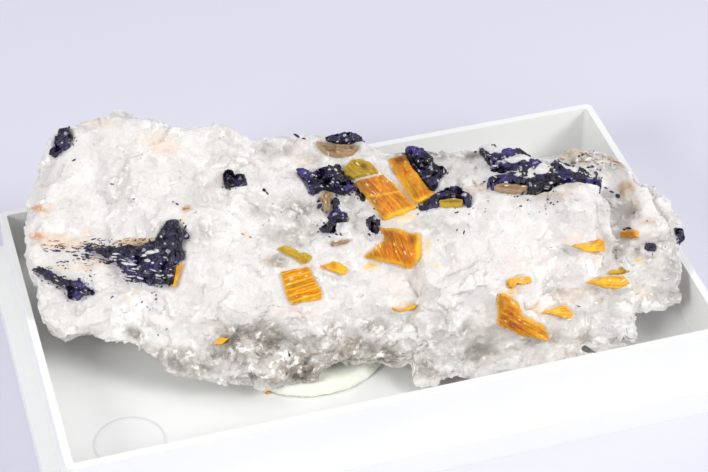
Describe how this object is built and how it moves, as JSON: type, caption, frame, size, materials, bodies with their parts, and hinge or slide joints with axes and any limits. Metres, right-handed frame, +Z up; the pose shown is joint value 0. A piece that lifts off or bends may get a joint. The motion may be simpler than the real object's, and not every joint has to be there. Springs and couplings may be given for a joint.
{
  "type": "yoderite and kyanite specimen in quartz on a tray",
  "caption": "Long broken quartz block with dark purple yoderite masses and orange kyanite blades, fixed on putty in a shallow white tray.",
  "frame": {"origin": "on the surface that the tray stands on, under the middle of the tray", "axes": "+X along the tray, +Y across it away from the quartz block's low front, +Z up"},
  "size_m": [0.1156, 0.069, 0.0384],
  "materials": {
    "tray_plastic": "moulded, satin gloss",
    "putty": "matte, slightly greasy",
    "quartz": "broken milky quartz, glassy and smoky low down",
    "yoderite": "granular, glittering",
    "kyanite_orange": "bladed, pearly to glassy cleavage",
    "kyanite_olive": "bladed, glassy cleavage",
    "kyanite_tan": "dull, platy"
  },
  "bodies": {
    "root": {"specimen_tray": "tray_plastic", "mounting_putty": "putty", "quartz_matrix": "quartz", "yoderite_upper_left": "yoderite", "yoderite_boot": "yoderite", "yoderite_lower_left": "yoderite", "yoderite_small_middle": "yoderite", "yoderite_beside_the_long_blade": "yoderite", "yoderite_drip": "yoderite", "yoderite_below_the_drip": "yoderite", "yoderite_beside_the_second_blade": "yoderite", "yoderite_around_the_olive_lens": "yoderite", "yoderite_chip": "yoderite", "yoderite_top_edge": "yoderite", "yoderite_ragged_band": "yoderite", "yoderite_spot_in_the_shade": "yoderite", "yoderite_right_edge": "yoderite", "kyanite_long_blade_upper": "kyanite_olive", "kyanite_long_blade_lower": "kyanite_orange", "kyanite_second_blade": "kyanite_orange", "kyanite_broad_plate": "kyanite_orange", "kyanite_striated_block": "kyanite_orange", "kyanite_olive_blade": "kyanite_olive", "kyanite_short_wedge": "kyanite_orange", "kyanite_sliver_upper": "kyanite_tan", "kyanite_sliver_middle": "kyanite_orange", "kyanite_sliver_lower_left": "kyanite_orange", "kyanite_brown_bar": "kyanite_tan", "kyanite_tan_plates_at_the_top": "kyanite_tan", "kyanite_olive_lens": "kyanite_olive", "kyanite_dart": "kyanite_orange", "kyanite_ledge_blade": "kyanite_orange", "kyanite_ledge_sliver": "kyanite_olive", "kyanite_shaded_bar": "kyanite_orange", "kyanite_corner_blade": "kyanite_orange", "kyanite_fishtail": "kyanite_orange", "kyanite_hook": "kyanite_orange", "kyanite_strip_by_the_boot": "kyanite_orange", "tan_lens_in_the_ragged_band": "kyanite_tan"}
  },
  "joints": []
}
